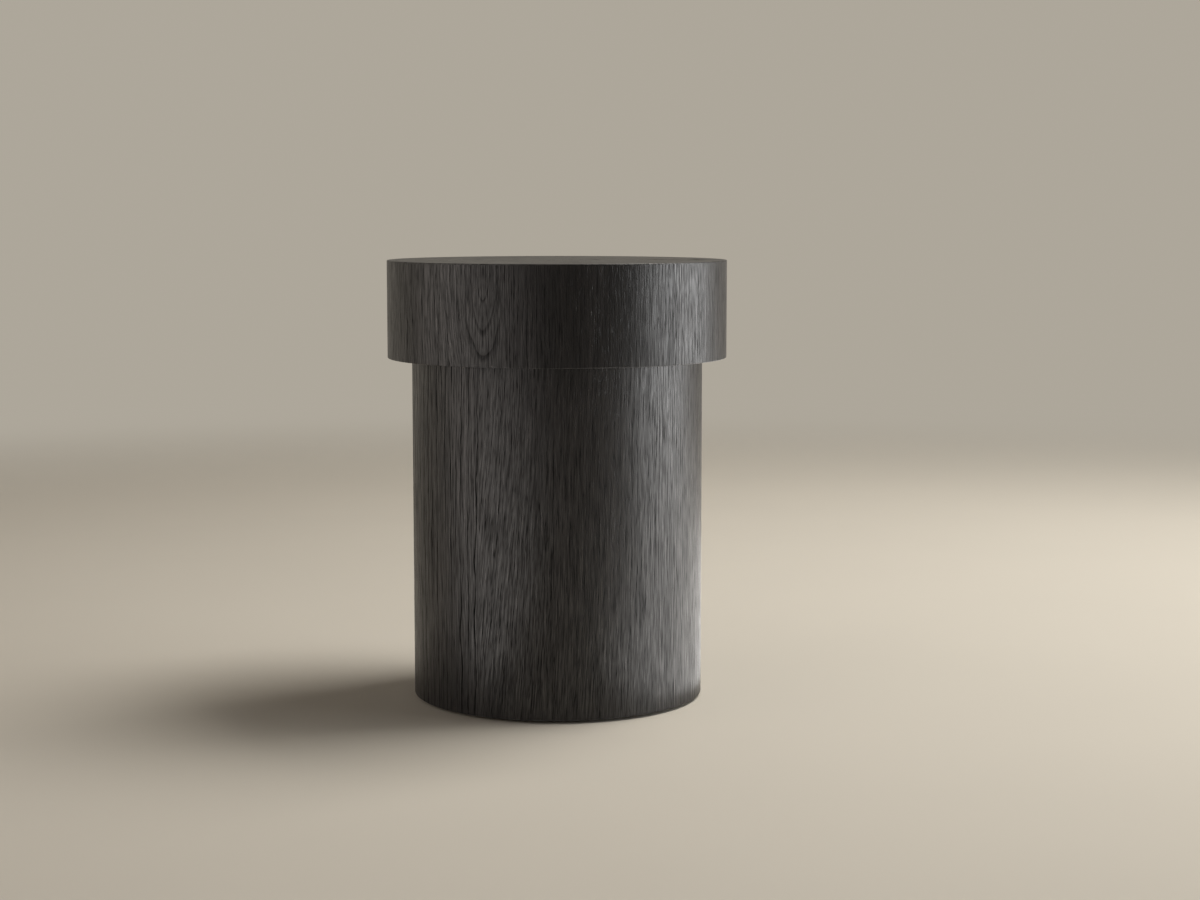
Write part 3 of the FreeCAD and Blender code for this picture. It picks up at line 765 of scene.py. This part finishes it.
TOP_LEAVES = (
    Leaf(-58, 210, 20, 0.05, 4.6, 0.00, 0.6, 0.5, 0.7, 0.8),
    Leaf(0, 14, -330, 0.16, 6.4, 0.02, 0.0, 0.9, 0.4, 0.9),
    Leaf(58, -230, 40, 0.05, 5.0, -0.01, 0.6, 0.6, 0.8, 0.8),
)
# Each piece's leaves take their seeds from its own first number on.
SEED_STEP = 17.3
BASE_SEED = 1
RIM_SEED = 11
TOP_SEED = 21
UNDERSIDE_SEED = 31


def write_leaves(mesh, choose, leaves, middles, first_seed):
    """Writes each face's leaf on the mesh: choose gives a face's leaf number from its centre."""
    labels = ("leaf_place", "leaf_figure", "leaf_marks", "leaf_ground")
    for label in labels:
        mesh.attributes.new(label, "FLOAT_VECTOR", "FACE")
    place, figure, marks, ground = (mesh.attributes[label].data for label in labels)
    for face in mesh.polygons:
        number = choose(face.center)
        leaf = leaves[number]
        place[face.index].vector = (middles[number], leaf.heart * MM, leaf.level * MM)
        figure[face.index].vector = (leaf.taper, leaf.spacing * MM, SEED_STEP * (number + first_seed))
        marks[face.index].vector = (leaf.rings, leaf.streaks, leaf.pores)
        ground[face.index].vector = (leaf.tone, leaf.straight, 0.0)


def wrap_leaves(mesh, leaves, first_seed):
    """Leaves of one width wrapped round a drum, side by side."""
    width = 360 / len(leaves)
    middles = [math.radians((leaf.start + width / 2 + 180) % 360 - 180) for leaf in leaves]

    def choose(centre):
        angle = math.degrees(math.atan2(centre.x, -centre.y))
        return int((angle - leaves[0].start) % 360 // width)
    write_leaves(mesh, choose, leaves, middles, first_seed)


def lay_leaves(mesh, first_seed):
    """Leaves laid flat side by side, their grain along X. The mesh is cut along the seams."""
    work = bmesh.new()
    work.from_mesh(mesh)
    for seam in TOP_SEAMS:
        bmesh.ops.bisect_plane(
            work, geom=work.verts[:] + work.edges[:] + work.faces[:], dist=SEAM_TOLERANCE * MM,
            plane_co=(0, seam * MM, 0), plane_no=(0, 1, 0),
        )
    work.to_mesh(mesh)
    work.free()

    def choose(centre):
        return sum(centre.y > seam * MM for seam in TOP_SEAMS)
    write_leaves(mesh, choose, TOP_LEAVES, [leaf.start * MM for leaf in TOP_LEAVES], first_seed)


# Outside pieces. An eased edge is a quarter round of chords. A wrap has a narrow strip at each edge, and
# only what lies within the face's depth of its outside is brushed. Sizes in millimetres.
QUARTER_ROUND = [math.radians(step) for step in (0, 22.5, 45, 67.5, 90)]
EDGE_STRIP = 0.4
FACE_DEPTH = 0.02
FURROW_SEED_STEP = 1.7
TOP_RADII = (170, 150, 125, 100, 75, 50, 25)


def wrapped_veneer(name, radius, low, high, leaves, first_seed, material):
    """A veneer wrap with its foot edge eased, brushed along the grain."""
    inner = radius - VENEER
    middle, centre = radius - EASE, low + EASE
    foot = [(middle + EASE * math.sin(a), centre - EASE * math.cos(a)) for a in QUARTER_ROUND]
    wall = [(radius, level) for level in levels(centre + EDGE_STRIP, high - EDGE_STRIP, step=6)]
    rows = [(inner, low), *foot, *wall, (radius, high), (inner, high)]
    mesh = turned_mesh(name, rows, columns=720, closed=True)
    wrap_leaves(mesh, leaves, first_seed)
    mesh = worked(mesh, brushed_relief, {
        "Outside Radius": (radius - FACE_DEPTH) * MM, "Furrow Width": 1.6 * MM, "Furrow Length": 70 * MM,
        "Depth": 0.05 * MM, "Seed": first_seed * FURROW_SEED_STEP, "Material": material,
    })
    return shade(mesh, crease=50)


def top_leaf():
    """The top's veneer, with its edge eased over the rim."""
    low, high = top_low.z, top_high.z
    middle, centre = HEAD_RADIUS - EASE, high - EASE
    edge = [(middle + EASE * math.cos(a), centre + EASE * math.sin(a)) for a in QUARTER_ROUND]
    face = [(reach, high) for reach in TOP_RADII]
    rows = [(0, low), (HEAD_RADIUS, low), *edge, *face, (0, high)]
    mesh = turned_mesh("top_leaf", rows, columns=360)
    lay_leaves(mesh, TOP_SEED)
    return shade(mesh, crease=60)


def outside_pieces():
    """The four veneered faces of the table."""
    base = wrapped_veneer(
        "base_wrap", BASE_RADIUS, base_low.z, base_high.z, BASE_LEAVES, BASE_SEED, base_oak
    )
    add_piece("base_wrap", base, "table", base_oak, "base_veneer")
    rim = wrapped_veneer(
        "rim_wrap", HEAD_RADIUS, head_low.z, head_high.z, HEAD_LEAVES, RIM_SEED, head_oak
    )
    add_piece("rim_wrap", rim, "table", head_oak, "rim_veneer")
    add_piece("top_leaf", top_leaf(), "table", flat_oak, "top_veneer")
    under = eased_copy("underside_veneer", "underside_leaf", UNDERSIDE_EASE)
    lay_leaves(under, UNDERSIDE_SEED)
    add_piece("underside_leaf", under, "table", flat_oak, "underside_veneer")


def carcass_pieces():
    """The drum's wall, boards and battens, and finishes for the solids that are shown as packed."""
    wall = rounded([
        (INSIDE_RADIUS, wall_low.z, True), (WALL_RADIUS, wall_low.z, True),
        (WALL_RADIUS, wall_high.z, False), (INSIDE_RADIUS, wall_high.z, False),
    ], WALL_EASE)
    wall_mesh = shade(turned_mesh("drum_wall", wall, columns=288, closed=True), crease=30)
    add_piece("drum_wall", wall_mesh, "table", ply_finish, "base_shell")
    for node in ("bottom_ring", "middle_former", "upper_former"):
        board = eased_copy(node, f"{node}_board", BOARD_EASE)
        add_piece(f"{node}_board", board, "table", board_finish, node)
    for number in range(1, QUARTERS + 1):
        stick = eased_copy(f"batten_{number}", f"upright_{number}", BATTEN_EASE)
        add_piece(f"upright_{number}", stick, "table", pine_finish, f"batten_{number}")
    for node, finish in (
        ("top_panel", board_finish), ("underside_panel", board_finish), ("lower_cross_rib", board_finish),
        ("upper_cross_rib", board_finish), ("rim_shell", ply_finish), ("locating_dowels", beech_finish),
        ("threaded_inserts", brass_finish), ("upper_batten_screws", zinc_finish),
    ):
        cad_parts[node].material_slots[0].material = finish


# Fasteners, drawn round their own axis. Sizes in millimetres.
THREAD_PITCH = 1.25
THREAD_DEPTH = 0.62
THREAD_STEP = THREAD_PITCH / 8
SHANK_RADIUS = 4.0
WASHER_THICKNESS = 2.0


def threaded(mesh, bottom, top):
    """The mesh with a thread cut between those levels."""
    return worked(mesh, cut_thread, {
        "Bottom": bottom * MM, "Top": top * MM, "Pitch": THREAD_PITCH * MM, "Depth": THREAD_DEPTH * MM,
        "Material": zinc_finish,
    })


def cap_bolt():
    """Socket cap bolt, head down: hexagon socket, knurled rim, threaded shank."""
    cap, cap_height, socket_depth, plain_length, length = 6.5, 8.0, 4.0, 6.0, 30.0
    knurls, knurl_depth = 40, 0.22
    seat = former_low.z - WASHER_THICKNESS
    face = seat - cap_height
    floor = face + socket_depth
    plain = seat + plain_length
    tip = seat + length
    key = hexagon(flats=6.0)

    def knurl(angle):
        return cap - knurl_depth * (0.5 + 0.5 * math.cos(angle * knurls))
    rows = [
        (0, floor + 0.6), (lambda a: key(a) * 0.5, floor + 0.2), (key, floor), (key, face + 0.3),
        (lambda a: key(a) + 0.3, face), (5.2, face), (5.7, face), (6.15, face + 0.25), (6.3, face + 0.8),
        (knurl, face + 1.1), (knurl, seat - 0.8), (cap, seat - 0.5), (cap, seat - 0.1),
        (6.35, seat), (4.4, seat), (SHANK_RADIUS, seat + 0.4), (SHANK_RADIUS, plain),
        *[(SHANK_RADIUS, level) for level in levels(plain + 0.2, tip - 1.0, THREAD_STEP)],
        (3.6, tip - 0.4), (3.2, tip), (0, tip),
    ]
    return threaded(turned_mesh("cap_bolts", rows, columns=120), plain + 0.3, tip - 1.0)


def washer():
    """Flat washer under a bolt's head."""
    hole, rim = 4.5, 12
    low, high = former_low.z - WASHER_THICKNESS, former_low.z
    rows = rounded([(hole, low, True), (rim, low, True), (rim, high, True), (hole, high, True)], 0.35)
    return turned_mesh("washers", rows, columns=64, closed=True)


def flanged_nut():
    """Leveller's nut: a flange under the ring and a sleeve let into it."""
    bore, sleeve, flange, flange_thickness, length = 4.05, 5.05, 11, 1.5, 11
    seat = ring_low.z
    low, high = seat - flange_thickness, seat + length
    rows = rounded([
        (bore, low, True), (flange, low, True), (flange, seat, True), (sleeve, seat, False),
        (sleeve, high, True), (bore, high, True),
    ], 0.4)
    return turned_mesh("flanged_nuts", rows, columns=64, closed=True)


def countersunk_screw():
    """Countersunk screw, head down: six-lobe recess, plain neck, ridged shank and point."""
    lobe_swell, core, ridge = 0.17, 1.75, 0.25
    face = ring_low.z

    def lobes(size):
        return lambda angle: size * (1 + lobe_swell * math.cos(angle * HEXAGON))
    turns = levels(face + 13, face + 45, step=0.9)
    ridges = [(core + ridge * (index % 2), level) for index, level in enumerate(turns)]
    rows = [
        (0, face + 2.2), (lobes(0.8), face + 2.1), (lobes(1.55), face + 1.9), (lobes(1.65), face + 0.15),
        (lobes(1.8), face), (2.9, face), (3.8, face), (3.95, face + 0.2), (2.3, face + 2.7),
        (2.0, face + 3.0), (2.0, face + 12), *ridges, (1.6, face + 46.5), (0, face + 50),
    ]
    return turned_mesh("lower_screws", rows, columns=48)


def four_round(name, mesh, circle, first_degrees, node):
    """Four equal zinc-plated fasteners round the drum, in place of their solids."""
    spread = worked(mesh, set_round, {
        "Count": QUARTERS, "Circle Radius": circle * MM, "First Angle": math.radians(first_degrees),
        "Material": zinc_finish,
    })
    add_piece(name, shade(spread), "table", zinc_finish, node)


def fastener_pieces():
    """The fasteners that show from underneath."""
    four_round("cap_bolts", cap_bolt(), BOLT_CIRCLE, 0, "connector_bolts")
    four_round("washers", washer(), BOLT_CIRCLE, 0, "bolt_washers")
    four_round("flanged_nuts", flanged_nut(), LEVELLER_CIRCLE, FIRST_LEVELLER, "leveller_nuts")
    four_round("lower_screws", countersunk_screw(), BATTEN_CIRCLE, 0, "lower_batten_screws")


# Levellers, drawn round their own axis and set down where their solids are. Sizes in millimetres.
FELT_TOP = 2.0
PAD_TOP = 9.0
PAD_FLOOR = 2.0


def leveller_stem():
    """A button that turns in the pad, a neck, a chamfered hexagon and a threaded shank."""
    rim, button_height, lift, hexagon_height, length = 8.0, 3.0, 0.5, 4.0, 28.0
    button = FELT_TOP + PAD_FLOOR
    cap = button + button_height
    collar = PAD_TOP + lift
    thread = collar + hexagon_height
    tip = thread + length
    flats = hexagon(flats=13.0)

    def chamfered(limit):
        return lambda angle: min(flats(angle), limit)
    rows = [
        (0, button), (7.6, button), (rim, button + 0.4), (rim, cap - 0.4), (7.6, cap),
        (5.0, cap), (5.0, collar), (6.3, collar), (chamfered(6.7), collar + 0.05),
        (chamfered(7.5), collar + 0.55), (chamfered(7.5), thread - 0.55), (chamfered(6.7), thread - 0.05),
        (6.3, thread), (SHANK_RADIUS, thread), (SHANK_RADIUS, thread + 0.6),
        *[(SHANK_RADIUS, level) for level in levels(thread + 0.8, tip - 1.2, THREAD_STEP)],
        (3.5, tip - 0.5), (3.0, tip), (0, tip),
    ]
    return threaded(turned_mesh("stem", rows, columns=60), thread + 0.9, tip - 1.2)


def leveller_pad():
    """A moulded pad, hollow inside for the button."""
    rim, lip_thickness = 15, 1.8
    low, high = FELT_TOP, PAD_TOP
    floor, lip = low + PAD_FLOOR, high - lip_thickness
    rows = rounded([
        (0, low, False), (rim, low, True), (rim, low + 2.5, True), (11, high, True),
        (5.2, high, True), (5.2, lip, False), (8.2, lip, False), (8.2, floor, False), (0, floor, False),
    ], 0.7)
    return turned_mesh("pad", rows, columns=72)


def leveller_felt():
    """A felt disc under the pad."""
    rim = 13
    rows = rounded([(0, 0, False), (rim, 0, True), (rim, FELT_TOP, True), (0, FELT_TOP, False)], 0.5)
    return turned_mesh("felt", rows, columns=72)


def leveller_pieces():
    """The stem, pad and felt of each leveller. The felt rides with the pad."""
    kinds = (
        (leveller_stem, "stem", "zinc_steel", zinc_finish),
        (leveller_pad, "pad", "black_nylon", nylon_finish),
        (leveller_felt, "felt", "grey_felt", felt_finish),
    )
    for make, kind, slot, finish in kinds:
        pattern = shade(make())
        for number, angle in enumerate(LEVELLER_ANGLES, start=1):
            mesh = pattern.copy()
            spot = (LEVELLER_CIRCLE * math.cos(angle) * MM, LEVELLER_CIRCLE * math.sin(angle) * MM, 0)
            mesh.transform(Matrix.Translation(spot) @ Matrix.Rotation(angle, 4, "Z"))
            body = f"leveller_{number}_stem" if kind == "stem" else f"leveller_{number}_pad"
            add_piece(f"foot_{kind}_{number}", mesh, body, finish, f"leveller_{kind}_{number}")
        bpy.data.meshes.remove(pattern)


# Stage, light and camera, in metres.
def seen_rays(tree):
    """Whether a ray comes from the camera, whether it was mirrored or let through, and whether either."""
    path = tree.nodes.new("ShaderNodeLightPath").outputs
    camera = path["Is Camera Ray"]
    mirrored = tree_math(tree, "MAXIMUM", path["Is Glossy Ray"], path["Is Transmission Ray"])
    return camera, mirrored, tree_math(tree, "MAXIMUM", camera, mirrored)


def studio_floor():
    """A round pale floor that sweeps up into a wall all round. Far out on the near side it is painted dark,
    as painted shade.
    """
    level_reach, bend, wall_top = 3.0, 1.0, 3.4
    turns = [math.radians(step) for step in range(0, 91, 6)]
    sweep = [(level_reach + bend * math.sin(a), bend - bend * math.cos(a)) for a in turns]
    profile = [(level_reach + bend, wall_top), *reversed(sweep), (2.0, 0.0), (1.0, 0.0), (0, 0.0)]
    mesh = turned_mesh("floor", [(reach / MM, level / MM) for reach, level in profile], columns=128)
    mesh.shade_smooth()
    floor = linked("floor", mesh)

    paint = Finish("pale_floor")
    reach = paint.flat_length(paint.x, paint.y)
    cloud = paint.noise(paint.spot, scale=3.0)
    shaded_near_side = paint.math("SUBTRACT", 1.0, paint.span(paint.y, low=-3.2, high=2.6))
    wall = paint.span(reach, low=1.5, high=3.2)
    beyond = paint.span(reach, low=2.8, high=3.8)
    # Far out on the near side the colour turns dark: painted shade standing in for a dark room in front of
    # the table, which darkens the light bounced on to it.
    colour = paint.ramp(
        paint.math("ADD", paint.times(beyond, shaded_near_side), paint.times(cloud, 0.04)),
        (0.0, 0.68, 0.635, 0.555), (1.0, 0.11, 0.103, 0.092),
    )
    paint.wear(colour, 0.9, Specular_IOR_Level=0.1)

    # Far from the table, an even pale backdrop for the camera. Mirrored, it is darker on the near side: a
    # painted reflection of shade that the table's front mirrors.
    camera, mirrored, seen = seen_rays(paint.tree)
    glow = paint.ramp(
        paint.times(shaded_near_side, mirrored),
        (0.0, 0.42, 0.385, 0.325), (0.55, 0.34, 0.312, 0.265), (1.0, 0.050, 0.047, 0.042),
    )
    backdrop = paint.node("ShaderNodeMixShader", {
        0: paint.times(seen, wall), 1: paint.surface.outputs[0],
        2: paint.node("ShaderNodeEmission", {"Color": glow}).outputs[0],
    })

    # From below, the camera looks through the floor.
    back = paint.node("ShaderNodeNewGeometry", {}).outputs["Backfacing"]
    mix = paint.node("ShaderNodeMixShader", {
        0: paint.times(back, camera), 1: backdrop.outputs[0],
        2: paint.node("ShaderNodeBsdfTransparent", {}).outputs[0],
    })
    paint.tree.links.new(mix.outputs[0], paint.tree.nodes["Material Output"].inputs["Surface"])
    mesh.materials.append(paint.material)
    floor.visible_shadow = False


# Each lamp: name, place, the point it is aimed at, width and height, power (W) and colour. The two floor
# panels stand for the light that a bright floor throws back.
WINDOW_LIGHT = (0.97, 0.985, 1.0)
SOFT_LAMPS = (
    ("window_low", (3.0, 0.06, 0.42), (0, 0.06, 0.42), (3.0, 0.8), 40, WINDOW_LIGHT),
    ("floor_panel", (1.22, 0.35, 0.005), (1.22, 0.35, 1.0), (2.1, 1.4), 16, (0.99, 0.98, 0.97)),
    ("window_high", (3.0, 0.06, 1.65), (0, 0.06, 1.2), (3.0, 1.5), 14, WINDOW_LIGHT),
    ("fill_left", (-2.67, -1.36, 1.22), (0, 0, 1.1), (3.9, 2.4), 28, (1.0, 0.915, 0.86)),
    ("floor_panel_left", (-1.1, -0.95, 0.012), (-1.1, -0.95, 1.0), (1.8, 1.5), 8, (1.0, 0.96, 0.95)),
    ("overhead", (1.35, 0.55, 2.6), (0.5, 0.1, 0), (1.5, 1.5), 66, (1.0, 0.97, 0.92)),
)
# Two small lamps light the open foot of the drum, for views from underneath. Their light doesn't bounce.
FOOT_LAMPS = (
    ("under", (0, 0, -0.25), (0, 0, 0.2), (0.24, 0.24), 1.1, (1.0, 0.98, 0.95)),
    ("inside", (0, 0, 0.17), (0, 0, 0), (0.1, 0.1), 0.12, (1.0, 0.96, 0.9)),
)
ROOM_LIGHT = 0.03
ROOM_SEEN = 0.4


def lamp(name, place, aim, size, power, colour, shape="RECTANGLE"):
    """An area lamp that the camera doesn't see."""
    light = bpy.data.lights.new(name, "AREA")
    light.shape = shape
    light.size, light.size_y = size
    light.energy = power
    light.color = colour
    holder = linked(name, light)
    holder.location = place
    away = [end - start for start, end in zip(place, aim)]
    holder.rotation_euler = Vector(away).to_track_quat("-Z", "Y").to_euler()
    holder.visible_camera = False
    return light


def studio_light():
    """The lamps, and a dim room that the camera and mirrored rays see brighter than it lights."""
    for row in SOFT_LAMPS:
        lamp(*row)
    for row in FOOT_LAMPS:
        lamp(*row, shape="DISK").cycles.max_bounces = 0

    world = bpy.data.worlds.new("studio")
    bpy.context.scene.world = world
    world.use_nodes = True
    tree = world.node_tree
    _, _, seen = seen_rays(tree)
    ground = tree.nodes["Background"]
    ground.inputs["Color"].default_value = (0.86, 0.81, 0.73, 1.0)
    strength = tree_math(tree, "MULTIPLY_ADD", seen, ROOM_SEEN, ROOM_LIGHT)
    tree.links.new(strength, ground.inputs["Strength"])


def photo_camera():
    """The camera at the photograph's viewing angle."""
    tilt_down = 6.319
    camera = bpy.data.cameras.new("camera")
    camera.lens = 66.14
    camera.sensor_width = 36.0
    holder = linked("camera", camera)
    holder.location = (0.0443, -2.2818, 0.5082)
    holder.rotation_euler = (math.radians(90 - tilt_down), 0, 0)
    bpy.context.scene.camera = holder
    bpy.context.scene.view_settings.view_transform = "Standard"


photo_camera()
outside_pieces()
carcass_pieces()
fastener_pieces()
leveller_pieces()
studio_floor()
studio_light()
